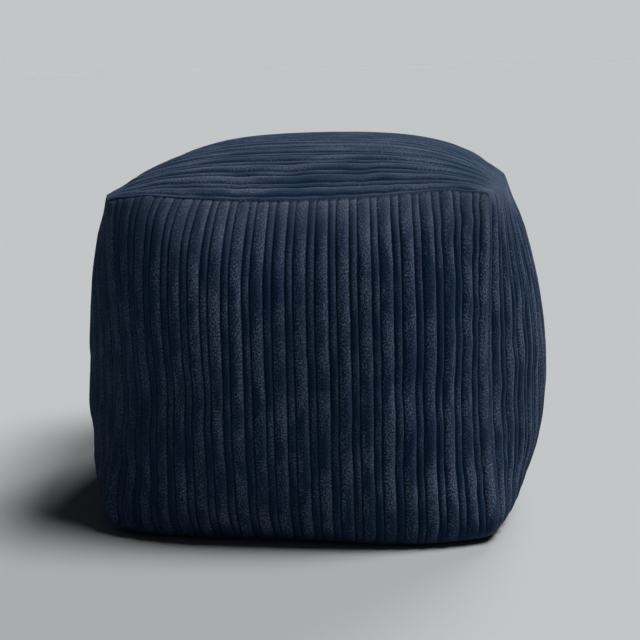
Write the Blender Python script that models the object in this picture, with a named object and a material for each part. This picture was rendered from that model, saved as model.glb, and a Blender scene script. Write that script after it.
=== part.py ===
"""A bean bag footstool: a cube of jumbo corduroy, stuffed tight, standing on its base.

Six panels are sewn edge to edge round one filling, so the pouf is one closed solid. Its four
sides bulge most at a third of their height, its corners and seams are drawn in, and its top
is crowned. The cords of the cloth, a wide one beside a narrow one, are raised in the surface:
upright on the sides, and running from left to right on the top. The base is plain.

Metres, +Z up, front towards -Y, origin on the ground under the middle.
"""

import math

import bmesh
import bpy
import numpy as np

# The cloth. A row gives a line along the cords: its place across one pair of cords, as a
# share of the pair's width, and how far it lies below the crests, as a share of the groove.
# The pattern is the same from both ends, so the cords of two panels meet at a seam.
PAIRS = 19
GROOVE = 0.0032
PAIR_LINES = (
    (0.00, 0.15),  # crest of the narrow cord
    (0.19, 1.00),  # groove
    (0.34, 0.00),  # wide cord, one shoulder
    (0.66, 0.00),  # wide cord, other shoulder
    (0.81, 1.00),  # groove
)

# The stuffed form at four heights. A row gives the share of the height, the half-width at
# the corner seams, and how far the middle of a panel stands out beyond them.
FORM = (
    (0.00, 0.206, 0.011),
    (0.33, 0.187, 0.054),
    (0.66, 0.186, 0.048),
    (1.00, 0.187, 0.018),
)
ROUNDNESS = 3.3  # power of a panel's bulge: 2 is a bow, more is flatter in the middle
FULLNESS = (1.0, 1.1, 1.0, 1.05)  # share of the bulge on the front, right, back and left

TOP_CORNERS = 0.347  # height of the top panel's corners
TOP_SAGS = (0.0125, 0.0100, 0.0075, 0.0075)  # dip of its front, right, back and left seams
FRONT_RISE = 0.0086  # how far the front seam is pushed up again, close to both its corners
TOP_LEAN = 0.002  # rise of its right-hand seam, and drop of its left-hand one
SLACK_CORNER = 0.016  # drop of its corner at the back right, where the filling is slack
CROWN = 0.0385  # rise of its middle above the corners
CROWN_FLATNESS = 3.3
CROWN_EASE = 1.15
BASE_SEAM = 0.001  # height of the base seam in the middle of a side
BASE_LIFT = 0.013  # its rise at the corners, which don't touch the ground
TUCK = 0.006  # how far the base seam is tucked in under the sides
TUCK_SHARE = 0.025  # share of the height over which it is

# The filling settles unevenly. A row gives the side where it shows, how much wider the form is
# there as a share, the height where that is most, and how far it reaches up and down.
SLUMPS = (
    ("left", 0.009, 0.28, 0.05),
    ("left", 0.017, 0.10, 0.05),
    ("left", 0.020, 0.05, 0.02),
    ("left", -0.015, 0.00, 0.03),
    ("right", -0.038, 0.00, 0.04),
)
FRONT_FOOT = 0.035  # how much further the front stands out at its foot, as a share
FRONT_FOOT_PLACE = (0.10, 0.08)  # where along X, and how far that reaches
FRONT_FOOT_RISE = 0.05
FRONT_SHOULDER = 0.008  # how much further the front stands out just below the top
SHOULDER_POWER = 6

FOOT = 0.180  # half-width of the flat patch that rests on the ground
FOOT_BOW = 0.006
SEAM_DRAW = 0.0015  # how far a stitched seam is pulled in below the grooves

SIDE_ROWS = 10
TOP_STEPS = 10
FOOT_STEPS = 8
WELD = 0.00002

CORD_COLOUR = (0.0125, 0.0205, 0.0382, 1.0)
CORD_ROUGHNESS = 0.92

SHARES, CORNERS, BULGES = np.array(FORM).T
CORNER_CURVE = np.polyfit(SHARES, CORNERS, 3)
BULGE_CURVE = np.polyfit(SHARES, BULGES, 3)


def remove_scene_objects():
    for thing in list(bpy.data.objects):
        bpy.data.objects.remove(thing, do_unlink=True)


def cloth_lines():
    """The lines across a whole panel: their places from 0 to 1, and their shares of the groove."""
    places = [(pair + place) / PAIRS for pair in range(PAIRS) for place, _ in PAIR_LINES]
    drops = [drop for _ in range(PAIRS) for _, drop in PAIR_LINES]
    return np.array(places + [1.0]), drops + [PAIR_LINES[0][1]]


def bow(across):
    """The bulge of a panel, 1 in its middle and 0 at its seams."""
    return 1 - abs(across) ** ROUNDNESS


def hump(value, middle, reach):
    """1 at the middle, and nearly 0 at twice the reach."""
    return math.exp(-(((value - middle) / reach) ** 2))


def slump(x, y, z):
    """Shifts a point of the even form to where the settled filling has it."""
    side = "left" if x < 0 else "right"
    x *= 1 + sum(share * hump(z, up, reach) for at, share, up, reach in SLUMPS if at == side)
    if y < 0:
        y *= 1 + FRONT_FOOT * hump(z, 0, FRONT_FOOT_RISE) * hump(x, *FRONT_FOOT_PLACE)
    return x, y, z


def corner_height(x, y):
    """The height of the top seam's corners: level, but for a lean and the slack corner."""
    slack = max(0, (x + y) / 2 / CORNERS[-1] - 0.6) / 0.4
    return TOP_CORNERS + TOP_LEAN * x / CORNERS[-1] - SLACK_CORNER * slack**2


def seam_dip(turns, across):
    """How far the top seam of a side lies below its corners."""
    rise = FRONT_RISE * (1 - across**8) if turns == 0 else 0
    return TOP_SAGS[turns] * (1 - across**2) - rise


def shoulder(turns, up):
    """How much further a side stands out where it turns over to the top: only the front does."""
    most = SHOULDER_POWER / (SHOULDER_POWER + 1)
    shape = up**SHOULDER_POWER * (1 - up) / (most**SHOULDER_POWER * (1 - most))
    return FRONT_SHOULDER * shape if turns == 0 else 0


def side_point(turns, across, up):
    """A point on the side that is so many quarter turns from the front.

    across runs from -1 to 1 between its corner seams, and up from 0 to 1.
    """
    half = np.polyval(CORNER_CURVE, up) - TUCK * max(0, 1 - up / TUCK_SHARE) ** 2
    bulge = np.polyval(BULGE_CURVE, up) * FULLNESS[turns] + shoulder(turns, up)
    out = half + bulge * bow(across)
    angle = turns * math.pi / 2
    x = half * across * math.cos(angle) + out * math.sin(angle)
    y = half * across * math.sin(angle) - out * math.cos(angle)
    low = BASE_SEAM + BASE_LIFT * abs(across) ** 6
    high = corner_height(x, y) - seam_dip(turns, across)
    return slump(x, y, low + (high - low) * up)


def top_point(u, v):
    """A point on the top panel, with u and v from -1 to 1 towards +X and +Y."""
    x = u * (CORNERS[-1] + BULGES[-1] * FULLNESS[1 if u > 0 else 3] * bow(v))
    y = v * (CORNERS[-1] + BULGES[-1] * FULLNESS[0] * bow(u))
    seam = seam_dip(0 if v < 0 else 2, u) * v**2 + seam_dip(1 if u > 0 else 3, v) * u**2
    dome = (1 - abs(u) ** CROWN_FLATNESS) * (1 - abs(v) ** CROWN_FLATNESS)
    return slump(x, y, corner_height(x, y) - seam + CROWN * max(dome, 0) ** CROWN_EASE)


def even_places(curve, shares):
    """The places from -1 to 1 that divide the cloth along a curve in these shares."""
    places = np.linspace(-1, 1, 161)
    points = np.array([curve(place) for place in places])
    steps = np.linalg.norm(np.diff(points, axis=0), axis=1)
    run = np.concatenate(([0], np.cumsum(steps)))
    return np.interp(shares * run[-1], run, places)


def eased(step, steps):
    """A place from -1 to 1, with the steps closer together towards both ends."""
    return -math.cos(math.pi * step / steps)


def grid_steps(vert, columns, rows):
    """The column and row of a vertex of a new grid that spans -1 to 1."""
    return round((vert.co.x + 1) / 2 * columns), round((vert.co.y + 1) / 2 * rows)


def add_side(bm, relief, turns, shares, drops):
    columns = len(shares) - 1
    grid = bmesh.ops.create_grid(bm, x_segments=columns, y_segments=SIDE_ROWS, size=1)["verts"]
    ups = [(1 + eased(row, SIDE_ROWS)) / 2 for row in range(SIDE_ROWS + 1)]
    places = [
        even_places(lambda across, up=up: side_point(turns, across, up), shares) for up in ups
    ]
    for vert in grid:
        column, row = grid_steps(vert, columns, SIDE_ROWS)
        on_seam = column in (0, columns) or row in (0, SIDE_ROWS)
        vert.co = side_point(turns, places[row][column], ups[row])
        vert[relief] = -(GROOVE + SEAM_DRAW if on_seam else GROOVE * drops[column])


def add_top(bm, relief, shares, drops):
    """The top panel without its outermost line at the front and back, which the sides give."""
    inner, lines = shares[1:-1], len(shares) - 3
    grid = bmesh.ops.create_grid(bm, x_segments=TOP_STEPS, y_segments=lines, size=1)["verts"]
    us = [eased(step, TOP_STEPS) for step in range(TOP_STEPS + 1)]
    places = [even_places(lambda v, u=u: top_point(u, v), inner) for u in us]
    for vert in grid:
        column, row = grid_steps(vert, TOP_STEPS, lines)
        on_seam = column in (0, TOP_STEPS)
        vert.co = top_point(us[column], places[column][row])
        vert[relief] = -(GROOVE + SEAM_DRAW if on_seam else GROOVE * drops[row + 1])


def add_foot(bm):
    """The flat patch of the base panel that rests on the ground."""
    grid = bmesh.ops.create_grid(bm, x_segments=FOOT_STEPS, y_segments=FOOT_STEPS, size=1)["verts"]
    for vert in grid:
        u, v = vert.co.x, vert.co.y
        vert.co = (u * (FOOT + FOOT_BOW * bow(v)), v * (FOOT + FOOT_BOW * bow(u)), 0)


def open_edges(bm, wanted):
    """The edges with one face whose middle and direction pass a test."""
    found = []
    for edge in bm.edges:
        a, b = (vert.co for vert in edge.verts)
        if edge.is_boundary and wanted((a + b) / 2, b - a):
            found.append(edge)
    return found


def sew_up(bm):
    """Welds the panels along the seams they share, and bridges the gaps that are left."""
    bmesh.ops.remove_doubles(bm, verts=bm.verts, dist=WELD)
    middle = TOP_CORNERS / 2
    for side in (-1, 1):
        edges = open_edges(
            bm,
            lambda place, run, side=side: (
                place.z > middle and place.y * side > 0 and abs(run.x) > abs(run.y)
            ),
        )
        bmesh.ops.bridge_loops(bm, edges=edges)
    bmesh.ops.bridge_loops(bm, edges=open_edges(bm, lambda place, run: place.z < middle))


def raise_cords(bm, relief):
    """Moves each vertex along the smooth form's normal, so crests and grooves appear."""
    bmesh.ops.recalc_face_normals(bm, faces=bm.faces)
    bm.normal_update()
    moves = [(vert, vert.normal * vert[relief]) for vert in bm.verts if vert[relief]]
    for vert, move in moves:
        vert.co += move


def make_cord_material():
    material = bpy.data.materials.new("navy_jumbo_cord")
    material.use_nodes = True
    shader = material.node_tree.nodes["Principled BSDF"]
    shader.inputs["Base Color"].default_value = CORD_COLOUR
    shader.inputs["Roughness"].default_value = CORD_ROUGHNESS
    shader.inputs["Metallic"].default_value = 0.0
    return material


def make_pouf(collection):
    bm = bmesh.new()
    relief = bm.verts.layers.float.new("relief")
    shares, drops = cloth_lines()
    for turns in range(4):
        add_side(bm, relief, turns, shares, drops)
    add_top(bm, relief, shares, drops)
    add_foot(bm)
    sew_up(bm)
    raise_cords(bm, relief)
    mesh = bpy.data.meshes.new("pouf")
    bm.to_mesh(mesh)
    bm.free()
    mesh.shade_smooth()
    mesh.materials.append(make_cord_material())
    collection.objects.link(bpy.data.objects.new("pouf", mesh))


def main():
    remove_scene_objects()
    footstool = bpy.data.collections.new("bean_bag_footstool")
    bpy.context.scene.collection.children.link(footstool)
    make_pouf(footstool)


main()
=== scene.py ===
# %% [markdown]
# # A bean bag footstool in navy jumbo corduroy
#
# The real footstool is a cube of cloth, about 40 cm a side, sewn from six panels and stuffed
# with beads until it is tight. The cloth is jumbo corduroy: a wide, soft cord beside a narrow
# one, over and over. On the four sides the cords stand upright. On the top they run from left
# to right. Nothing else shows: no piping, no zip, no handle.
#
# This lesson builds it the way it is made. We cut six panels, sew them into a cover, stuff the
# cover with a cloth simulation, and then raise the cords in the cloth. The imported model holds
# the same form as one solid with plainer cords. It is loaded first, because the cover takes
# its place and has to sit where it does.

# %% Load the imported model
import math

import bmesh
import bpy
import numpy as np
from mathutils import Matrix, Vector, noise


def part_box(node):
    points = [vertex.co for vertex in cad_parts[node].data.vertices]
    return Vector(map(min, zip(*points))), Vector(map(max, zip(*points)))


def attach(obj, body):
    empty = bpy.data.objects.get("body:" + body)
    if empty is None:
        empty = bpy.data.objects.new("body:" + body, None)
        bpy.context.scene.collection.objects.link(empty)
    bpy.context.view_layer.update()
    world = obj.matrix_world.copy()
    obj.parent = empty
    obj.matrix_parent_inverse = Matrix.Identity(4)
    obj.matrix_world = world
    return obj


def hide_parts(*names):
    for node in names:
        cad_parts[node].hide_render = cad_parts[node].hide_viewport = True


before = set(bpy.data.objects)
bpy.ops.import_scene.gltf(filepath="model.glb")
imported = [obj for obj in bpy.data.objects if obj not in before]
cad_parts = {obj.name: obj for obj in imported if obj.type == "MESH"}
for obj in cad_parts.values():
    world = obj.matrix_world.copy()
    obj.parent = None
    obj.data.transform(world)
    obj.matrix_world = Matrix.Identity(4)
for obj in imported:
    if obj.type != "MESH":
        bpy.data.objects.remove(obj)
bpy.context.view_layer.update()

low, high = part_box("pouf")
print("the solid measures", [round(side, 3) for side in high - low], "m")

# %% [markdown]
# ## The cloth
#
# A maker writes down the cloth first: how wide and how long a panel is cut, how many pairs of
# cords fit across it, and how deep the grooves between them run. Blender works in metres, so
# all sizes are metres from here on, unless a comment says otherwise.

# %% Sizes of the cloth
PANEL = 0.400  # a panel's width from seam to seam; the top and the base are this long, too
DROP = 0.370  # a side panel's length from the top seam to the base seam
PAIRS = 19.5  # pairs of cords across a panel
GROOVE = 0.0034  # depth of the groove beside a wide cord
print("cords:", PAIRS, "pairs,", round(PANEL / PAIRS * 1000, 1), "mm a pair")

# %% [markdown]
# ## The stuffed form
#
# A formula gives the form, because it is easier to correct than a sculpted mesh: to make the
# stool fuller, you change one number. Each panel is a flat rectangle of cloth until it is sewn,
# and a function says where a point of it ends up.
#
# A stuffed panel bulges out between its seams, and the corners of the cube stay behind. So two
# numbers at each height describe the sides: where the corner is, and how far the panel stands
# out beyond it. Four heights are enough, because a smooth curve runs through them. The front
# also has a shoulder, where it turns over to the top.

# %% The bulge of the sides
FORM = np.array((  # share of the height, half-width at the corners, bulge of the panel
    (0.00, 0.206, 0.011),
    (0.33, 0.187, 0.054),
    (0.66, 0.186, 0.048),
    (1.00, 0.187, 0.018),
))
CORNER_CURVE = np.polyfit(FORM[:, 0], FORM[:, 1], 3)
BULGE_CURVE = np.polyfit(FORM[:, 0], FORM[:, 2], 3)
FULLNESS = (1.0, 1.1, 1.0, 1.05)  # the front and back bulge less than the right and left
ROUNDNESS = 3.3  # 2 would be a plain bow; more is flatter in the middle of a panel
FRONT_SHOULDER = 0.008  # how much further the front stands out just below the top
SHOULDER_POWER = 6  # more moves the shoulder nearer to the top


def bow(across):
    """The bulge of a panel, 1 in its middle and 0 at its seams."""
    return 1 - abs(across) ** ROUNDNESS


def shoulder(turns, up):
    """How much further the front stands out where it turns over to the top."""
    most = SHOULDER_POWER / (SHOULDER_POWER + 1)
    shape = up**SHOULDER_POWER * (1 - up) / (most**SHOULDER_POWER * (1 - most))
    return FRONT_SHOULDER * shape if turns == 0 else 0


print("bulge half way up:", round(np.polyval(BULGE_CURVE, 0.5) * 1000), "mm")

# %% [markdown]
# The beads settle, so an even form has to be shifted a little: the left side grows wider close
# to the foot, the right side is drawn in there, and the front stands out at its foot. Each
# such shift is a hump, which is strong at one height and fades above and below it.

# %% What the settled filling changes
SLUMPS = (  # the side, how much wider as a share, the height where that is most, its reach
    ("left", 0.009, 0.28, 0.05),
    ("left", 0.017, 0.10, 0.05),
    ("left", 0.020, 0.05, 0.02),
    ("left", -0.015, 0.00, 0.03),
    ("right", -0.038, 0.00, 0.04),
)
FRONT_FOOT = 0.035  # how much further the front stands out at its foot, as a share
FRONT_FOOT_PLACE = (0.10, 0.08)  # where along X, and how far that reaches
FRONT_FOOT_RISE = 0.05  # and how far up


def hump(value, middle, reach):
    """1 at the middle, and nearly 0 at twice the reach."""
    return math.exp(-(((value - middle) / reach) ** 2))


def slump(x, y, z):
    """Shifts a point of the even form to where the settled filling has it."""
    side = "left" if x < 0 else "right"
    x *= 1 + sum(share * hump(z, up, reach) for at, share, up, reach in SLUMPS if at == side)
    if y < 0:
        y *= 1 + FRONT_FOOT * hump(z, 0, FRONT_FOOT_RISE) * hump(x, *FRONT_FOOT_PLACE)
    return x, y, z


print("the left side near the foot, moved from -0.200 m to", round(slump(-0.2, 0, 0.1)[0], 4))

# %% [markdown]
# The seam round the top hangs a little between its corners, and on the front the beads push
# most of it up again. One corner, at the back right, is slack and sinks.

# %% The seam round the top
TOP_CORNERS = 0.347  # height of the top's corners
TOP_LEAN = 0.002  # how much higher they are on the right, and lower on the left
SLACK_CORNER = 0.016  # how far the corner at the back right sinks, where the beads are loose
SLACK_START = 0.6  # and where that begins, as a share of the way to the corner
TOP_SAGS = (0.0125, 0.0100, 0.0075, 0.0075)  # dip of the top's front, right, back, left seams
SAG_POWERS = (2, 4, 2, 2)  # more is level in the middle, and steeper at the corners
FRONT_RISE = 0.0086  # how far the front seam is pushed up again, but for its very corners
FRONT_RISE_POWER = 8


def corner_height(x, y):
    """The height of the top's corners: level, but for a slight lean and one slack corner."""
    towards_slack = (x + y) / 2 / FORM[-1, 1]
    slack = max(0, towards_slack - SLACK_START) / (1 - SLACK_START)
    return TOP_CORNERS + TOP_LEAN * x / FORM[-1, 1] - SLACK_CORNER * slack**2


def seam_dip(turns, across):
    """How far the top seam of a side lies below its corners."""
    rise = FRONT_RISE * (1 - across**FRONT_RISE_POWER) if turns == 0 else 0
    return TOP_SAGS[turns] * (1 - abs(across) ** SAG_POWERS[turns]) - rise


print("dips of the four seams:", [round(seam_dip(n, 0) * 1000, 1) for n in range(4)], "mm")

# %% [markdown]
# Three functions put it together: one for the sides, one for the crowned top, and one for the
# base, which is flat where it rests on the floor and turns up a little at its seam.

# %% Points of the sides
BASE_SEAM = 0.001  # height of the base seam in the middle of a side
BASE_LIFT = 0.013  # how much higher it is at the corners
BASE_LIFT_POWER = 6
TUCK = 0.006  # how far the sides are tucked in under the edge of the base
TUCK_SHARE = 0.025  # share of the height over which they are


def side_point(turns, across, up):
    """A point on the side that is so many quarter turns from the front."""
    half = np.polyval(CORNER_CURVE, up) - TUCK * max(0, 1 - up / TUCK_SHARE) ** 2
    bulge = np.polyval(BULGE_CURVE, up) * FULLNESS[turns] + shoulder(turns, up)
    out = half + bulge * bow(across)
    angle = turns * math.pi / 2
    x = half * across * math.cos(angle) + out * math.sin(angle)
    y = half * across * math.sin(angle) - out * math.cos(angle)
    bottom = BASE_SEAM + BASE_LIFT * abs(across) ** BASE_LIFT_POWER
    top = corner_height(x, y) - seam_dip(turns, across)
    return slump(x, y, bottom + (top - bottom) * up)


print("the middle of the front is", round(-side_point(0, 0, 0.5)[1], 4), "m from the centre")

# %% Points of the top and the base
CROWN = 0.0385  # how far the middle of the top rises over its seams
CROWN_FLATNESS = 3.3
CROWN_EASES = (1.15, 1.0)  # the crown starts gently at the left, and steeply at the right
BASE_FLAT = 0.9  # the share of the base that lies on the floor


def top_point(u, v):
    """A point on the top, with u and v from -1 to 1 towards +X and +Y."""
    x = u * (FORM[-1, 1] + FORM[-1, 2] * FULLNESS[1 if u > 0 else 3] * bow(v))
    y = v * (FORM[-1, 1] + FORM[-1, 2] * FULLNESS[0] * bow(u))
    sag = seam_dip(0 if v < 0 else 2, u) * v**2 + seam_dip(1 if u > 0 else 3, v) * u**2
    dome = (1 - abs(u) ** CROWN_FLATNESS) * (1 - abs(v) ** CROWN_FLATNESS)
    ease = np.interp(u, (-1, 1), CROWN_EASES)
    rise = CROWN * max(dome, 0) ** ease
    return slump(x, y, corner_height(x, y) - sag + rise)


def base_point(u, v):
    """A point on the base, with u and v from -1 to 1 towards +X and +Y."""
    x = u * (FORM[0, 1] - TUCK + FORM[0, 2] * FULLNESS[1 if u > 0 else 3] * bow(v))
    y = v * (FORM[0, 1] - TUCK + FORM[0, 2] * FULLNESS[0] * bow(u))
    seam = BASE_SEAM + BASE_LIFT * min(abs(u), abs(v)) ** BASE_LIFT_POWER
    turn_up = max(0, (max(abs(u), abs(v)) - BASE_FLAT) / (1 - BASE_FLAT)) ** 2
    return slump(x, y, seam * turn_up)


print("height in the middle of the top:", round(top_point(0, 0)[2], 4), "m")

# %% [markdown]
# ## Cut and sew the cover
#
# A panel starts as a grid from `bmesh.ops.create_grid`. Before it is bent into place, each
# corner of each face gets a UV coordinate that is its place on the flat cloth, in metres:
# the first number runs across the cords and the second along them. From then on the cloth
# knows where its own cords are, however it is bent. The panels lie half a metre apart in the
# UV map, so a panel's number can be read from it too.
#
# The cords of real cloth stay evenly spaced when it is bent, and so must the columns of the
# grid. A helper walks along a curve of the form, measures it, and finds equal steps.

# %% Equal steps along a curve
MEASURED = 161  # points at which a curve is measured


def even_places(curve, steps):
    """The places from -1 to 1 that divide the cloth along a curve into equal steps."""
    places = np.linspace(-1, 1, MEASURED)
    points = np.array([curve(place) for place in places])
    run = np.concatenate(([0], np.cumsum(np.linalg.norm(np.diff(points, axis=0), axis=1))))
    return np.interp(np.linspace(0, run[-1], steps + 1), run, places)


print("equal steps over the top:", even_places(lambda u: top_point(u, 0), 4).round(2))

# %% One panel of cloth
UV_STEP = 0.5  # distance between two panels in the UV map


def add_panel(bm, number, columns, rows, place, cloth, cords_along_x=False):
    """A grid of cloth; place(column, row) gives a point, and cloth its flat size."""
    grid = bmesh.ops.create_grid(bm, x_segments=columns, y_segments=rows, size=1)["verts"]
    uv = bm.loops.layers.uv.verify()
    for face in {face for vert in grid for face in vert.link_faces}:
        for loop in face.loops:
            u = (loop.vert.co.x + 1) / 2 * cloth[0]
            v = (loop.vert.co.y + 1) / 2 * cloth[1]
            across, along = (v, u) if cords_along_x else (u, v)
            loop[uv].uv = (number * UV_STEP + across, along)
    for vert in grid:
        column = round((vert.co.x + 1) / 2 * columns)
        row = round((vert.co.y + 1) / 2 * rows)
        vert.co = place(column, row)


# %% All six panels
CELLS = 39  # cells of the first, coarse grid across a panel, half a pair of cords each
SIDE_CELLS = 24  # cells from the base to the top
TOP, BASE = 4, 5  # the sides are 0 to 3: front, right, back, left


def add_sides(bm):
    ups = np.linspace(0, 1, SIDE_CELLS + 1)
    for turns in range(4):
        places = [even_places(lambda a, up=up: side_point(turns, a, up), CELLS) for up in ups]
        add_panel(
            bm, turns, CELLS, SIDE_CELLS,
            lambda column, row: side_point(turns, places[row][column], ups[row]),
            (PANEL, DROP),
        )


def add_top_and_base(bm):
    for number, point in ((TOP, top_point), (BASE, base_point)):
        edge = even_places(lambda u: point(u, -1), CELLS)
        us = [even_places(lambda u, v=v: point(u, v), CELLS) for v in edge]
        vs = [even_places(lambda v, u=u: point(u, v), CELLS) for u in edge]
        add_panel(
            bm, number, CELLS, CELLS,
            lambda column, row: point(us[row][column], vs[column][row]),
            (PANEL, PANEL), cords_along_x=True,
        )


panels = bmesh.new()
add_sides(panels)
add_top_and_base(panels)
print("cut:", len(panels.faces), "faces,", len(panels.verts), "vertices")

# %% [markdown]
# Sewing is `bmesh.ops.remove_doubles`: the edges of two panels lie in the same place, so
# their vertices merge. The merged edges are the seams. They get a crease, which keeps them
# sharp when the cloth is smoothed later.
#
# Three seams meet at each corner of the cube. The beads can't fill a sharp point, so a real
# corner is blunt. `bmesh.ops.smooth_vert` pulls each vertex near the four upper corners
# towards its neighbours, twice, and the seams have a weaker crease where they meet.

# %% Find the seams, and blunt the corners
SLIP = 0.0001  # more than the rounding error of a UV coordinate
CORNER_REACH = 0.034  # how far from a corner the cloth is smoothed
CORNER_ROUNDS = 2


def seam_edges(bm):
    """The edges where two different panels meet."""
    uv = bm.loops.layers.uv.verify()
    number = {
        face: min(int(loop[uv].uv.x / UV_STEP + SLIP) for loop in face.loops)
        for face in bm.faces
    }
    return [edge for edge in bm.edges if len({number[face] for face in edge.link_faces}) == 2]


def is_corner(vert):
    return len(vert.link_edges) == 3


def round_top_corners(bm):
    points = [vert.co.copy() for vert in bm.verts if is_corner(vert) and vert.co.z > DROP / 2]
    near = [
        vert
        for vert in bm.verts
        if min((vert.co - point).length for point in points) < CORNER_REACH
    ]
    for _ in range(CORNER_ROUNDS):
        bmesh.ops.smooth_vert(
            bm, verts=near, factor=0.5, use_axis_x=True, use_axis_y=True, use_axis_z=True
        )


# %% Sew the cover
SEAM_GAP = 0.0002  # vertices nearer than this are sewn together
SEAM_CREASE = 0.8
CORNER_CREASE = 0.2
RESTING_BELOW = 0.012  # cloth lower than this rests on the floor


def make_object(name, bm):
    """Turns a bmesh into an object of the scene."""
    mesh = bpy.data.meshes.new(name)
    bm.to_mesh(mesh)
    bm.free()
    thing = bpy.data.objects.new(name, mesh)
    bpy.context.scene.collection.objects.link(thing)
    return thing


def sew(bm):
    """Joins the panels; gives the cover, with its seams and its resting part as groups."""
    bmesh.ops.remove_doubles(bm, verts=bm.verts, dist=SEAM_GAP)
    bmesh.ops.recalc_face_normals(bm, faces=bm.faces)
    round_top_corners(bm)
    bm.verts.index_update()
    crease = bm.edges.layers.float.new("crease_edge")
    sewn = set()
    for edge in seam_edges(bm):
        edge[crease] = CORNER_CREASE if any(map(is_corner, edge.verts)) else SEAM_CREASE
        sewn.update(vert.index for vert in edge.verts)
    resting = [vert.index for vert in bm.verts if vert.co.z < RESTING_BELOW]
    cover = make_object("pouf_cover", bm)
    cover.data.uv_layers[0].name = "cloth"
    cover.vertex_groups.new(name="seams").add(list(sewn), 1.0, "REPLACE")
    cover.vertex_groups.new(name="resting").add(resting, 1.0, "REPLACE")
    return cover


cover = sew(panels)
print("sewn:", len(cover.data.polygons), "faces,", len(cover.data.vertices), "vertices")

# %% [markdown]
# ## Stuff the cover
#
# A taut cover still has folds, because a seam is sewn with a tight thread that is shorter than
# the cloth on both sides of it. They could be drawn by hand, but a cloth simulation gives them
# as they really fall: the pressure of the stuffing pushes out, the seams shrink, and the cloth
# next to them gathers. Gravity is off, and the part that rests on the floor is pinned.
#
# The overall form was settled above, so only the folds are kept from the simulation. The
# broad part of each movement is found by averaging over the neighbours many times, and it is
# taken away. What is left is limited to a few millimetres.

# %% Helpers that read and replace a mesh
def apply_modifiers(thing):
    """Replaces a thing's mesh by the one that its modifiers make."""
    evaluated = thing.evaluated_get(bpy.context.evaluated_depsgraph_get())
    made = bpy.data.meshes.new_from_object(evaluated)
    thing.modifiers.clear()
    old, thing.data = thing.data, made
    bpy.data.meshes.remove(old)


def points_of(mesh):
    flat = np.empty(len(mesh.vertices) * 3)
    mesh.vertices.foreach_get("co", flat)
    return flat.reshape(-1, 3)


def neighbour_average(mesh, values, rounds):
    """Three values a vertex, averaged over its neighbours again and again."""
    pairs = np.array([edge.vertices[:] for edge in mesh.edges])
    first, second = pairs[:, 0], pairs[:, 1]
    ends = np.concatenate((first, second))
    others = np.concatenate((second, first))
    count = np.bincount(ends)[:, None]
    for _ in range(rounds):
        sums = [np.bincount(ends, values[others, axis]) for axis in range(3)]
        values = np.column_stack(sums) / count
    return values


print("the cover reaches", points_of(cover.data).max(axis=0).round(3), "m to +X, +Y and +Z")

# %% Inflate it with a cloth simulation
FRAMES = 20
PRESSURE = 4
SEAM_SHRINK = 0.08  # share by which the thread is shorter than the cloth
QUALITY = 5  # steps that the simulation takes in a frame
STIFFNESS = 0.1  # of the cloth against bending; more would make broader folds
BROAD_ROUNDS = 40
DEEPEST_FOLD = 0.0018


def inflate(thing):
    cloth = thing.modifiers.new("stuffing", "CLOTH")
    cloth.settings.quality = QUALITY
    cloth.settings.bending_stiffness = STIFFNESS
    cloth.settings.use_pressure = True
    cloth.settings.uniform_pressure_force = PRESSURE
    cloth.settings.vertex_group_mass = "resting"
    cloth.settings.vertex_group_shrink = "seams"
    cloth.settings.shrink_max = SEAM_SHRINK
    cloth.settings.effector_weights.gravity = 0
    cloth.collision_settings.use_collision = False
    cloth.point_cache.frame_end = FRAMES
    for number in range(1, FRAMES + 1):
        bpy.context.scene.frame_set(number)
    apply_modifiers(thing)


def stuff(thing):
    """Keeps the folds of the simulation, and leaves the form as it was sewn."""
    sewn = points_of(thing.data)
    inflate(thing)
    move = points_of(thing.data) - sewn
    folds = move - neighbour_average(thing.data, move, BROAD_ROUNDS)
    size = np.linalg.norm(folds, axis=1)[:, None]
    folds *= DEEPEST_FOLD * np.tanh(size / DEEPEST_FOLD) / np.maximum(size, 1e-9)
    thing.data.vertices.foreach_set("co", (sewn + folds).ravel())
    thing.data.update()
    print("deepest fold:", round(np.linalg.norm(folds, axis=1).max() * 1000, 1), "mm")


stuff(cover)

# %% [markdown]
# ## Smooth the cloth, and divide it finely across the cords
#
# A Subdivision Surface rounds the coarse grid once. It could go on until the mesh is fine
# enough for the cords, but corduroy needs many more points across its cords than along them.
# So a second step cuts only the edges that run across: three cuts make sixteen columns for
# each pair of cords. The UV map tells which edges those are, because only the first number
# changes along them. Next to the seams the cloth is cut the other way as well, because a
# cord's end is only a few millimetres long.

# %% Smooth, then cut
ACROSS_CUTS = 3
SEAM_CUTS = 2
COLUMNS = CELLS * 2 * (ACROSS_CUTS + 1)


def smooth_cloth(thing):
    smooth = thing.modifiers.new("smooth cloth", "SUBSURF")
    smooth.levels = smooth.render_levels = 1
    smooth.uv_smooth = "NONE"
    apply_modifiers(thing)


def cords_edges(bm, along, near_seam=False):
    """Edges of the corded panels: those that run along the cords, or those across them."""
    uv = bm.loops.layers.uv.verify()
    found = set()
    for face in bm.faces:
        if min(loop[uv].uv.x for loop in face.loops) > BASE * UV_STEP - SLIP:
            continue
        for loop in face.loops:
            a, b = loop[uv].uv, loop.link_loop_next[uv].uv
            if (abs(a.y - b.y) > abs(a.x - b.x)) != along:
                continue
            length = DROP if a.x < TOP * UV_STEP - SLIP else PANEL
            inside = min(a.y, b.y) > SLIP and max(a.y, b.y) < length - SLIP
            if near_seam and inside:
                continue
            found.add(loop.edge)
    return list(found)


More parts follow.
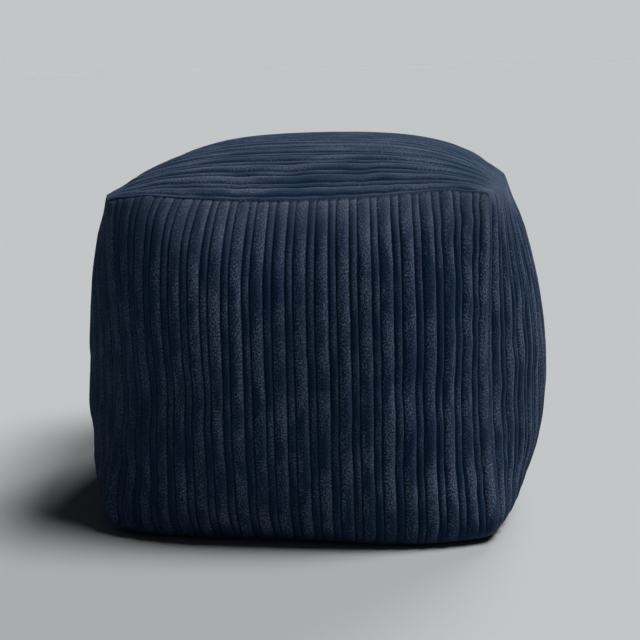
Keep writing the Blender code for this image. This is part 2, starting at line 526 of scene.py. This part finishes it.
def divide_cloth(thing):
    bm = bmesh.new()
    bm.from_mesh(thing.data)
    edges = cords_edges(bm, along=False)
    bmesh.ops.subdivide_edges(bm, edges=edges, cuts=ACROSS_CUTS, use_grid_fill=True)
    edges = cords_edges(bm, along=True, near_seam=True)
    bmesh.ops.subdivide_edges(bm, edges=edges, cuts=SEAM_CUTS, use_grid_fill=True)
    bmesh.ops.triangulate(bm, faces=[face for face in bm.faces if len(face.verts) > 4])
    bm.to_mesh(thing.data)
    bm.free()


smooth_cloth(cover)
divide_cloth(cover)
print("divided:", len(cover.data.polygons), "faces,", COLUMNS, "columns a panel")

# %% [markdown]
# ## Raise the cords
#
# Corduroy is woven flat, and its pile stands up in rows. Each cord has a round back and steep
# sides, and at a seam its end is sewn down. A Displace modifier with a picture of stripes
# could raise them, but it would blur their steep sides. Here every vertex knows its column,
# and its height above the groove follows from that alone, so one profile serves the whole
# cover. The work is done with numpy on all the vertices at once.

# %% Where each vertex is on the flat cloth
PANEL_JUMP = 3.7  # distance in the noise from panel to panel, so that no two are alike


def cloth_places(mesh):
    """Each vertex's panel number, its place across and along it, and the way across."""
    mesh.calc_tangents(uvmap=mesh.uv_layers[0].name)
    count = len(mesh.loops)
    vertex, uv, tangent = np.empty(count, dtype=int), np.empty(count * 2), np.empty(count * 3)
    mesh.loops.foreach_get("vertex_index", vertex)
    mesh.uv_layers[0].uv.foreach_get("vector", uv)
    mesh.loops.foreach_get("tangent", tangent)
    uv, tangent = uv.reshape(-1, 2), tangent.reshape(-1, 3)
    number = (uv[:, 0] / UV_STEP + SLIP).astype(int)
    place = np.zeros((len(mesh.vertices), 3))
    order = np.argsort(-number, kind="stable")  # on a seam the lower panel number counts
    found = np.column_stack((number, uv[:, 0] - number * UV_STEP, uv[:, 1]))
    place[vertex[order]] = found[order]
    tangent[place[vertex, 0] != number] = 0
    sideways = np.column_stack([np.bincount(vertex, tangent[:, axis]) for axis in range(3)])
    sideways /= np.maximum(np.linalg.norm(sideways, axis=1), 1e-6)[:, None]
    return place[:, 0].astype(int), place[:, 1], place[:, 2], sideways


def uneven(number, across, along, size, seed):
    """Soft random values from about -1 to 1; size is the length across and along."""
    places = zip(across / size[0], along / size[1], number * PANEL_JUMP + seed)
    return np.array([noise.noise(Vector(place)) for place in places])


mesh = cover.data
number, across, along, sideways = cloth_places(mesh)
normals = np.array([vert.normal[:] for vert in mesh.vertices])
length = np.where(number < TOP, DROP, PANEL)
corner = np.clip(np.minimum(across, PANEL - across), 0, None)  # to a seam beside the cords
end = np.clip(np.minimum(along, length - along), 0, None)  # to a seam across their ends
near = np.minimum(corner, end)
print("vertices of each panel:", np.bincount(number))

# %% [markdown]
# One pair is a wide cord and a narrow one. Seen along the cords, the back of each is half an
# ellipse, and on the top a squarer curve with a higher power than 2. The same formula closes
# a cord's end, like a finger tip. Cloth is cut wherever the roll happens to lie, so each panel
# starts at a different place of the pair.

# %% The profile of a pair of cords
WIDE_SHARE = 0.625  # of a pair's width
NARROW_HEIGHT = 0.68  # of a wide cord's height
ROUND_BACK = 2.0  # a cord's back on the sides is half an ellipse,
FLAT_BACK = 3.6  # and on the top, where people sit, it is flatter
TIPS = (0.0075, 0.005)  # length of the round end of a wide and of a narrow cord
PAIR_COLUMNS = round(COLUMNS / PAIRS)
FIRST_GROOVE = np.array((14, 4, 12, 7, 5, 0))  # column of the first groove on each panel


def cord_profile(column, end, back):
    """The height at each column, from 0 in a groove to 1; end is the distance to a cord's end.

    Also tells where a wide cord is, and the flank: -1 at a cord's left edge, 1 at its right.
    """
    place = column % PAIR_COLUMNS / PAIR_COLUMNS
    wide = place < WIDE_SHARE
    share = np.where(wide, place / WIDE_SHARE, (place - WIDE_SHARE) / (1 - WIDE_SHARE))
    tip = 1 - np.minimum(1, end / np.where(wide, *TIPS))
    round_back = 1 - abs(2 * share - 1) ** back - tip**2
    height = np.where(wide, 1.0, NARROW_HEIGHT) * np.sqrt(np.clip(round_back, 0, 1))
    return height, wide, 2 * share - 1


column = np.round(across / PANEL * COLUMNS) - FIRST_GROOVE[number]
cord = np.floor(column / PAIR_COLUMNS) * 2  # the number of the cord in its panel
cord += column % PAIR_COLUMNS >= PAIR_COLUMNS * WIDE_SHARE
tip_distance = np.where(number % 2 == 0, length - along, 1)  # round tips on front, back, top
back = np.where(number == TOP, FLAT_BACK, ROUND_BACK)
height, wide, flank = cord_profile(column, tip_distance, back)
one_pair = cord_profile(np.arange(PAIR_COLUMNS), 1, ROUND_BACK)[0]
print("one pair:", one_pair.round(2))

# %% [markdown]
# Nothing about cloth is quite even. A cord swells and thins along its length. It is pressed
# flat where the cover is folded at the foot, where it is pulled tight over an edge, and where
# people sit on it, most of all at the back of the top. The base has no raised cords: they are
# pressed flat by the weight, and nobody sees them.

# %% Swell and press the cords
EVEN_HEIGHT = 0.94  # of a full cord
SWELL = 0.09  # how much higher or lower a cord gets along its length
SWELL_LENGTH = 0.022
CORD_JUMP = 0.731  # distance in the noise from cord to cord, so that neighbours differ
PRESSED = 0.8  # height of a cord that is pressed flat
FOOT_FADE = 0.010  # the cords are pressed over this length above the base seam
END_FADE = 0.030  # and over this length at the left and right ends of the top
END_PRESS = 1.5
HEAD_FADE = 0.050  # the stretched cloth just below the top presses them, too,
HEAD_PRESS = np.array((0.5, 1.3, 0.5, 1.3, 0, 0))  # by this much on each panel
FLAT_SEAM = 0.006  # and the stuffing does so near the upright seams
SAT_ON = (0.15, 0.65)  # how much sitting presses the cords of the top, at its front and back
SAT_ON_PLACES = (0.08, 0.26)  # how far from its front seam these two hold

swell = uneven(number, cord * CORD_JUMP, along, (1, SWELL_LENGTH), seed=0.5)
height *= EVEN_HEIGHT + SWELL * swell
foot = np.where(number < TOP, 1 - along / FOOT_FADE, 0)
ends = np.where(number == TOP, END_PRESS * (1 - end / END_FADE), 0)
head = (1 - (length - along) / HEAD_FADE) * HEAD_PRESS[number]
edge = np.where(number < TOP, 1 - corner / FLAT_SEAM, 0)
sat_on = np.where(number == TOP, np.interp(across, SAT_ON_PLACES, SAT_ON), 0)
press = np.clip(np.max((foot, ends, head, edge, sat_on), axis=0), 0, 1)
height += (PRESSED - height) * press
height[(number == BASE) & (near > SEAM_GAP)] = 1
print("heights of the cords from", height.min().round(2), "to", height.max().round(2))

# %% Draw the seams in
SEAM_DRAW = 0.0012  # how far the stitches pull the cloth in at the front and back of the top
SOFT_SEAM_DRAW = 0.0003  # and at the seams where the stuffing presses hardest
SEAM_REACH = 0.004

upright = (number < TOP) & (corner < end)
soft = upright | (number % 2 == 1) | (foot > 0) | (ends > 0)
draw = np.where(soft, SOFT_SEAM_DRAW, SEAM_DRAW) * np.exp(-((near / SEAM_REACH) ** 2))
draw *= number != BASE
rise = -GROOVE * (1 - height) - draw
print("lowest point of a groove:", round(rise.min() * 1000, 1), "mm under the cords")

# %% [markdown]
# Nothing about cloth is quite straight, either. The cords wander together with the cloth and a
# little on their own. Beside the upright seams they pucker, because the thread gathers them.
# And a panel that was sewn on a little crooked has its cords askew at two places: at the foot,
# and at the left end of the top seam.

# %% Let the cords wander
WANDER = 0.0008  # to each side, together with their neighbours
WANDER_SIZE = (0.025, 0.09)
OWN_WANDER = 0.0005  # and each cord on its own
OWN_WANDER_LENGTH = 0.026
RIPPLE = 0.0009  # depth of the puckers beside the upright seams
RIPPLE_LENGTH = 0.030
RIPPLE_REACH = 0.030
RIPPLE_TURN = 2.5  # how irregular they are
RIPPLE_TURN_SIZE = (0.033, 0.08)
HELD = 0.008  # a seam holds the cords straight over this distance
FOOT_SKEW = 0.0065  # how far the foot of the first cord of the front is askew
FOOT_SKEW_NONE = 0.8  # share of the width where the cords are straight
FOOT_SKEW_RISE = 0.65  # share of the height above which they all are
TOP_SKEWS = (  # how far askew, where across the panel, how wide and how deep, as shares
    (0.004, 0.32, 0.20, 0.08),
    (0.006, 0.15, 0.13, 0.045),
)
PANEL_SKEW = np.array((1, 0.4, -0.7, -0.5, 0, 0))


def askew():
    """How far the cords run askew, at each vertex."""
    share, up = across / PANEL, along / DROP
    skew = FOOT_SKEW * (1 - share / FOOT_SKEW_NONE) * np.clip(1 - up / FOOT_SKEW_RISE, 0, 1)
    for most, middle, width, depth in TOP_SKEWS:
        skew += most * np.exp(-(1 - up) / depth) * np.exp(-(((share - middle) / width) ** 2))
    return skew * PANEL_SKEW[number]


turn = uneven(number, across, along, RIPPLE_TURN_SIZE, seed=9)
ripple = RIPPLE * np.sin(2 * math.pi * along / RIPPLE_LENGTH + RIPPLE_TURN * turn)
drift = WANDER * uneven(number, across, along, WANDER_SIZE, seed=2)
drift += ripple * np.exp(-corner / RIPPLE_REACH)
drift += askew()
drift += OWN_WANDER * uneven(number, cord * CORD_JUMP, along, (1, OWN_WANDER_LENGTH), seed=5)
held = np.where(number < TOP, np.minimum(corner, along), near)
drift *= np.clip(held / HELD, 0, 1) * (number != BASE)
print("cords wander up to", round(abs(drift).max() * 1000, 1), "mm sideways")

# %% Move the vertices
points = points_of(mesh) + normals * rise[:, None] + sideways * drift[:, None]
points[:, 2] = np.maximum(points[:, 2], 0)
mesh.vertices.foreach_set("co", points.ravel())
print("cover:", (points.max(axis=0) - points.min(axis=0)).round(3), "m")

# %% [markdown]
# ## What the pile remembers, and painted light and shade
#
# Pile changes its look with the way it was treated, and light and shade are painted into it as
# well, so the mesh carries five attributes for the material, one value for each vertex:
#
# - `cord` holds the height, whether the cord is a wide one, and a number for each cord.
# - A painted light makes the cloth paler just below the top seams and at the left and right ends
#   of the top, where it turns over an edge; its flecks are plainer there.
# - `worn` is the top, where sitting has worn the grain down.
# - Painted shade makes the cloth darker at the foot, at the front's left corner and on the left
#   side.
# - `flank` tells a cord's left edge from its right. The material uses it to paint each cord's
#   right flank paler, as a painted highlight, and its left flank darker, as painted shade.

# %% Keep it in attributes
PAINTED_LIGHT_REACH = 0.080  # length below the top over which the cloth is painted paler, as painted light
PAINTED_LIGHT_SHARE = np.array((1, 0.5, 1, 0.5, 0.15, 0))  # how much of that there is on each panel
CORNER_PAINTED_SHADE = 0.085  # how far the painted shade reaches from the front's left corner,
LEFT_PAINTED_SHADE = 0.2  # from the same corner over the left side,
FOOT_PAINTED_SHADE = 0.02  # and up from the base seam
CORD_NUMBERS = 50  # more than a panel has cords, so that each cord gets its own number

# Painted light: the cloth just below the top seams, and at the left and right ends of the top, is
# made paler.
splayed = np.clip(np.where(number < TOP, 1 - (length - along) / PAINTED_LIGHT_REACH, ends), 0, 1)
splayed *= PAINTED_LIGHT_SHARE[number]
worn = (number == TOP).astype(float)
# Painted shade: darker at the front's left corner, over the left side and along the foot.
on_front = np.exp(-((across / CORNER_PAINTED_SHADE) ** 2))
on_left = np.exp(-(((PANEL - across) / LEFT_PAINTED_SHADE) ** 2))
at_foot = (number < TOP) * np.exp(-((along / FOOT_PAINTED_SHADE) ** 2))
brushed = np.select((number == 0, number == 3), (on_front, on_left), 0)
brushed = np.maximum(brushed, at_foot)

kept = mesh.attributes.new("cord", "FLOAT_VECTOR", "POINT")
cord_values = np.column_stack((height, wide, cord + number * CORD_NUMBERS))
kept.data.foreach_set("vector", cord_values.ravel())
pile_wear_and_painted_light = {"splayed": splayed, "worn": worn, "brushed": brushed, "flank": flank}
for name, values in pile_wear_and_painted_light.items():
    mesh.attributes.new(name, "FLOAT", "POINT").data.foreach_set("value", values)
mesh.shade_smooth()
mesh.update()
print("mean of", {name: round(float(values.mean()), 2) for name, values in pile_wear_and_painted_light.items()})

# %% [markdown]
# ## The velvet of the cords
#
# Jumbo cord of this kind is knitted polyester with a brushed, velvet-like pile. Three things
# make it look like that. The pile scatters light that grazes it, so edges turn pale, which
# is what sheen does. The pile lies this way here and that way there, so a cord is lighter in
# one stretch and darker in the next. And the tufts clump, which gives a fine salt-and-pepper
# grain. The grooves between the cords stay dark. A picture of the cloth would do for one
# view, but a pattern worked out at every point stays sharp however near the camera comes.
#
# All the patterns are laid out on the UV map, which is in metres of cloth. So a pattern with
# features of so many millimetres has the scale 1000 / millimetres.

# %% Colour and node helpers
def linear(colour):
    """An sRGB hex colour as the linear red, green, blue and alpha that nodes take."""
    parts = [int(colour[place:place + 2], 16) / 255 for place in (1, 3, 5)]
    bent = [
        part / 12.92 if part <= 0.04045 else ((part + 0.055) / 1.055) ** 2.4 for part in parts
    ]
    return bent + [1.0]


def add_node(material, kind, settings=None, inputs=None):
    """Adds a node; an input is a value, or the output socket that feeds it."""
    node = material.node_tree.nodes.new("ShaderNode" + kind)
    for name, value in (settings or {}).items():
        setattr(node, name, value)
    for name, value in (inputs or {}).items():
        if isinstance(value, bpy.types.NodeSocket):
            material.node_tree.links.new(value, node.inputs[name])
        else:
            node.inputs[name].default_value = value
    return node


def new_material(name):
    material = bpy.data.materials.new(name)
    material.use_nodes = True
    material.node_tree.nodes.clear()
    return material


print("navy in linear light:", [round(part, 4) for part in linear("#0f263e")[:3]])

# %% [markdown]
# The material starts with what the mesh carries and with three noises, from fine to coarse:
#
# - tufts, clumps of pile of about 1.5 mm, a little longer along the cord;
# - lie, stretches where the pile lies the other way. They are about 13 mm wide and three
#   times as long, and different on each cord, because each reads another layer of the noise;
# - strokes, hand marks of about 8 cm that run over all the cords.

# %% Read the mesh, and lay out the three noises
TUFT = 10 / 6.8  # mm, so that 6.8 clumps of pile fit into 10 mm of cloth
TUFT_STRETCH = 0.7  # less than 1 makes them longer along the cord
LIE = 100 / 7.5  # mm
LIE_STRETCH = 0.3
LIE_JUMP = 0.37  # distance in the noise from cord to cord, in metres
STROKE = 100 / 1.2  # mm

velvet = new_material("brushed_polyester_jumbo_cord")
cloth = add_node(velvet, "UVMap", {"uv_map": "cloth"}).outputs["UV"]
cord_read = add_node(velvet, "Attribute", {"attribute_name": "cord"}).outputs["Vector"]
split = add_node(velvet, "SeparateXYZ", inputs={"Vector": cord_read})
pile = dict(zip(("height", "wide", "cord number"), split.outputs))
for name in pile_wear_and_painted_light:
    pile[name] = add_node(velvet, "Attribute", {"attribute_name": name}).outputs["Fac"]

tuft_place = add_node(velvet, "Mapping", inputs={
    "Vector": cloth, "Scale": (1.0, TUFT_STRETCH, 1.0),
}).outputs[0]
layer = add_node(velvet, "Math", {"operation": "MULTIPLY"}, {
    0: pile["cord number"], 1: LIE_JUMP,
}).outputs[0]
layer_place = add_node(velvet, "CombineXYZ", inputs={"Z": layer}).outputs[0]
lie_place = add_node(velvet, "VectorMath", {"operation": "MULTIPLY_ADD"}, {
    0: cloth, 1: (1.0, LIE_STRETCH, 0.0), 2: layer_place,
}).outputs[0]

for name, place, size, detail, roughness in (
    ("tufts", tuft_place, TUFT, 2.0, 0.6),
    ("lie", lie_place, LIE, 2.0, 0.5),
    ("strokes", cloth, STROKE, 1.0, 0.5),
):
    pile[name] = add_node(velvet, "TexNoise", inputs={
        "Vector": place, "Scale": 1000 / size, "Detail": detail, "Roughness": roughness,
    }).outputs["Fac"]
    print(name, "are", round(size, 1), "mm wide")

# %% [markdown]
# How pale the pile is, from 0 to 1, is called its tone. Each row of the next table makes one
# Map Range node, which turns a range of one value into a range of another. A smooth step has
# soft ends, as a change in pile does, and a linear one only scales. Then a chain of Math
# nodes multiplies and adds them up, in the order in which they are listed.

# %% How pale the pile is
MAPS = (
    # The pale tips of the tufts, and where the pile stands up and shows them.
    ("fleck", "tufts", (0.46, 0.63), (0.0, 1.0), "SMOOTHSTEP"),
    ("standing", "lie", (0.36, 0.66), (0.0, 1.0), "SMOOTHSTEP"),
    ("fleck strength", "standing", (0.0, 1.0), (0.25, 1.25), "LINEAR"),
    # Narrow cords, worn pile and the cloth under the painted light show less of the flecks.
    ("flecks of wide", "wide", (0.2, 0.9), (0.55, 1.0), "SMOOTHSTEP"),
    ("flecks of splayed", "splayed", (0.0, 1.0), (1.0, 0.6), "SMOOTHSTEP"),
    ("flecks of worn", "worn", (0.0, 1.0), (1.0, 0.4), "SMOOTHSTEP"),
    # Standing and worn pile is paler all over. The cloth below the top seams is painted paler, as
    # painted light, and so is each cord's right flank, as a painted highlight; its left flank is
    # painted a little darker.
    ("pale standing", "standing", (0.0, 1.0), (0.0, 0.14), "LINEAR"),
    ("pale splayed", "splayed", (0.0, 1.0), (0.0, 0.27), "SMOOTHSTEP"),
    ("pale worn", "worn", (0.0, 1.0), (0.0, 0.09), "LINEAR"),
    ("pale flank", "flank", (-0.2, 0.9), (-0.06, 0.14), "SMOOTHSTEP"),
    # Hand marks, and painted shade at the foot, the front's left corner and the left side.
    ("hand marks", "strokes", (0.3, 0.7), (0.7, 1.2), "SMOOTHSTEP"),
    ("dark brushed", "brushed", (0.0, 1.0), (1.0, 0.5), "SMOOTHSTEP"),
    # Where the painted groove shade begins: it is shifted a little towards each cord's left
    # flank, as painted shade, and the tufts make its edge ragged.
    ("nap at groove", "flank", (-1.0, 1.0), (-0.15, 0.15), "LINEAR"),
    ("tufts at groove", "tufts", (0.0, 1.0), (-0.35, 0.35), "LINEAR"),
)
for name, source, (start, stop), (to_start, to_stop), interpolation in MAPS:
    pile[name] = add_node(velvet, "MapRange", {"interpolation_type": interpolation}, {
        "Value": pile[source], "From Min": start, "From Max": stop,
        "To Min": to_start, "To Max": to_stop,
    }).outputs[0]

FLECKS = 0.88  # strength of the salt-and-pepper grain
# The tone takes in painted light below the top seams and on each cord's right flank, and painted
# shade at the foot, the front's left corner and the left side.
TONE = (
    ("MULTIPLY", "fleck strength"), ("MULTIPLY", "flecks of wide"),
    ("MULTIPLY", "flecks of splayed"), ("MULTIPLY", "flecks of worn"),
    ("ADD", "pale standing"), ("ADD", "pale splayed"), ("ADD", "pale worn"),
    ("ADD", "pale flank"), ("MULTIPLY", "hand marks"), ("MULTIPLY", "dark brushed"),
)
tone = add_node(velvet, "Math", {"operation": "MULTIPLY"}, {0: pile["fleck"], 1: FLECKS})
for operation, name in TONE:
    tone = add_node(velvet, "Math", {"operation": operation}, {0: tone.outputs[0], 1: pile[name]})
print("maps:", len(MAPS), "steps of the tone:", len(TONE) + 1)

# %% [markdown]
# The tone picks a colour between dark navy and the grey-blue of pale pile. In the grooves between
# the cords a third, darker navy is painted in as shade, where the light is lost among the tufts.
# The shader is rough all over, hardly glossy, and has a pale sheen. A bump a little under a
# millimetre deep roughens the surface with the same tufts.

# %% Colours and shader
PILE_DARK = "#0f263e"
PILE_PALE = "#58647a"
# the painted shade in the grooves
GROOVE_SHADE_NAVY = "#0b2339"
SHEEN_TINT = "#8a92ac"
SHEEN = 0.11
TUFT_DEPTH = 0.0008
GROOVE_TO_CORD = (0.05, 0.7)  # heights between which the painted groove shade gives way to the pile

shade = add_node(velvet, "ValToRGB", inputs={"Fac": tone.outputs[0]})
shade.color_ramp.elements[0].color = linear(PILE_DARK)
shade.color_ramp.elements[1].color = linear(PILE_PALE)
# Painted shade: the grooves are mixed towards the darker navy.
deep = pile["height"]
for name in ("nap at groove", "tufts at groove"):
    deep = add_node(velvet, "Math", {"operation": "ADD"}, {0: deep, 1: pile[name]}).outputs[0]
on_cord = add_node(velvet, "MapRange", {"interpolation_type": "SMOOTHSTEP"}, {
    "Value": deep, "From Min": GROOVE_TO_CORD[0], "From Max": GROOVE_TO_CORD[1],
}).outputs[0]
colour = add_node(velvet, "Mix", {"data_type": "RGBA"}, {
    0: on_cord, 6: linear(GROOVE_SHADE_NAVY), 7: shade.outputs[0],
}).outputs[2]
bump = add_node(velvet, "Bump", inputs={
    "Strength": 0.8, "Distance": TUFT_DEPTH, "Height": pile["tufts"],
}).outputs[0]
shader = add_node(velvet, "BsdfPrincipled", inputs={
    "Base Color": colour, "Roughness": 0.9, "Specular IOR Level": 0.05, "Normal": bump,
    "Sheen Weight": SHEEN, "Sheen Roughness": 0.5, "Sheen Tint": linear(SHEEN_TINT),
})
add_node(velvet, "OutputMaterial", inputs={"Surface": shader.outputs[0]})

cover.data.materials.clear()
cover.data.materials.append(velvet)
print("velvet:", len(velvet.node_tree.nodes), "nodes")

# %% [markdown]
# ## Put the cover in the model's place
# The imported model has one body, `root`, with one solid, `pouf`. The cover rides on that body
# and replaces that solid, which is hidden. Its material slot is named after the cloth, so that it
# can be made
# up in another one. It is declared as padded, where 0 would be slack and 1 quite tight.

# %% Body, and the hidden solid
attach(cover, "root")
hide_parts("pouf")
print("the cover stands for the solid")

# %% [markdown]
# ## A plain studio
#
# The stool stands on a pale, matt floor. A pale wall stands far away all round, so that the
# floor doesn't end in the dark. It glows as brightly as the lit floor looks, and it takes no
# part in lighting the stool. The light is soft: two wide suns with a warm tint, one from a
# window at the right and one from the back right, and a faint, cool world that fills the
# shadows.

# %% Floor
FLOOR_REACH = 20
FLOOR_COLOUR = "#a1a6ac"

floor_paint = new_material("pale_studio_floor")
matt = add_node(floor_paint, "BsdfDiffuse", inputs={
    "Color": linear(FLOOR_COLOUR), "Roughness": 0.0,
})
add_node(floor_paint, "OutputMaterial", inputs={"Surface": matt.outputs[0]})
bm = bmesh.new()
bmesh.ops.create_grid(bm, x_segments=1, y_segments=1, size=FLOOR_REACH)
floor = make_object("floor", bm)
floor.data.materials.append(floor_paint)
print("floor:", FLOOR_REACH * 2, "m wide")

# %% Wall
WALL_RADIUS = 19
WALL_HEIGHT = 16
WALL_COLOUR = "#c3c6c7"

wall_paint = new_material("pale_studio_wall")
glow = add_node(wall_paint, "Emission", inputs={"Color": linear(WALL_COLOUR), "Strength": 1.0})
add_node(wall_paint, "OutputMaterial", inputs={"Surface": glow.outputs[0]})
bm = bmesh.new()
bmesh.ops.create_cone(
    bm, segments=64, radius1=WALL_RADIUS, radius2=WALL_RADIUS, depth=WALL_HEIGHT
)
bmesh.ops.translate(bm, verts=bm.verts, vec=(0, 0, WALL_HEIGHT / 2))
wall = make_object("wall", bm)
wall.data.materials.append(wall_paint)
wall.visible_shadow = False
wall.visible_diffuse = False
wall.visible_glossy = False
print("wall:", WALL_HEIGHT, "m high")

# %% Light
SUN_WIDTH = 25  # degrees; a wider sun has softer shadows
SUN_TINT = (1.0, 0.965, 0.90)
SUNS = (  # name, azimuth from the front to the right and height, in degrees, and power
    ("window_light", 90, 63, 3.9),
    ("back_light", 158, 38, 2.0),
)
WORLD_COLOUR = "#d9dde6"
WORLD_STRENGTH = 0.04

for name, azimuth, elevation, power in SUNS:
    light = bpy.data.lights.new(name, "SUN")
    light.angle = math.radians(SUN_WIDTH)
    light.energy = power
    light.color = SUN_TINT
    lamp = bpy.data.objects.new(name, light)
    turned, raised = math.radians(azimuth), math.radians(elevation)
    towards = Vector((math.sin(turned), -math.cos(turned), math.tan(raised)))
    lamp.rotation_euler = towards.to_track_quat("Z", "Y").to_euler()
    bpy.context.scene.collection.objects.link(lamp)

world = bpy.data.worlds.new("soft_room")
world.use_nodes = True
background = world.node_tree.nodes["Background"]
background.inputs["Color"].default_value = linear(WORLD_COLOUR)
background.inputs["Strength"].default_value = WORLD_STRENGTH
bpy.context.scene.world = world
bpy.context.scene.view_settings.view_transform = "Standard"
print("suns:", [name for name, *_ in SUNS])

# %% [markdown]
# ## The camera
#
# Someone who stands before the stool and looks down at it sees the front, a strip of the right
# side and the top. The camera starts out level, looking along +Y, and is then turned, tilted
# down and rolled a little. The focal length is given as a share of the picture's width.

# %% Camera
CAMERA_PLACE = (0.163, -1.412, 0.493)
CAMERA_TURN = 0.115  # radians, as the next two
CAMERA_DOWN = 0.2165
CAMERA_ROLL = -0.0216
FOCAL_SHARE = 1300 / 640
SENSOR_WIDTH = 36  # mm

camera = bpy.data.objects.new("camera", bpy.data.cameras.new("camera"))
camera.data.sensor_width = SENSOR_WIDTH
camera.data.lens = SENSOR_WIDTH * FOCAL_SHARE
camera.matrix_world = (
    Matrix.Translation(CAMERA_PLACE)
    @ Matrix.Rotation(CAMERA_TURN, 4, "Z")
    @ Matrix.Rotation(math.pi / 2 - CAMERA_DOWN, 4, "X")
    @ Matrix.Rotation(CAMERA_ROLL, 4, "Z")
)
bpy.context.scene.collection.objects.link(camera)
bpy.context.scene.camera = camera
print("focal length:", round(camera.data.lens, 1), "mm")
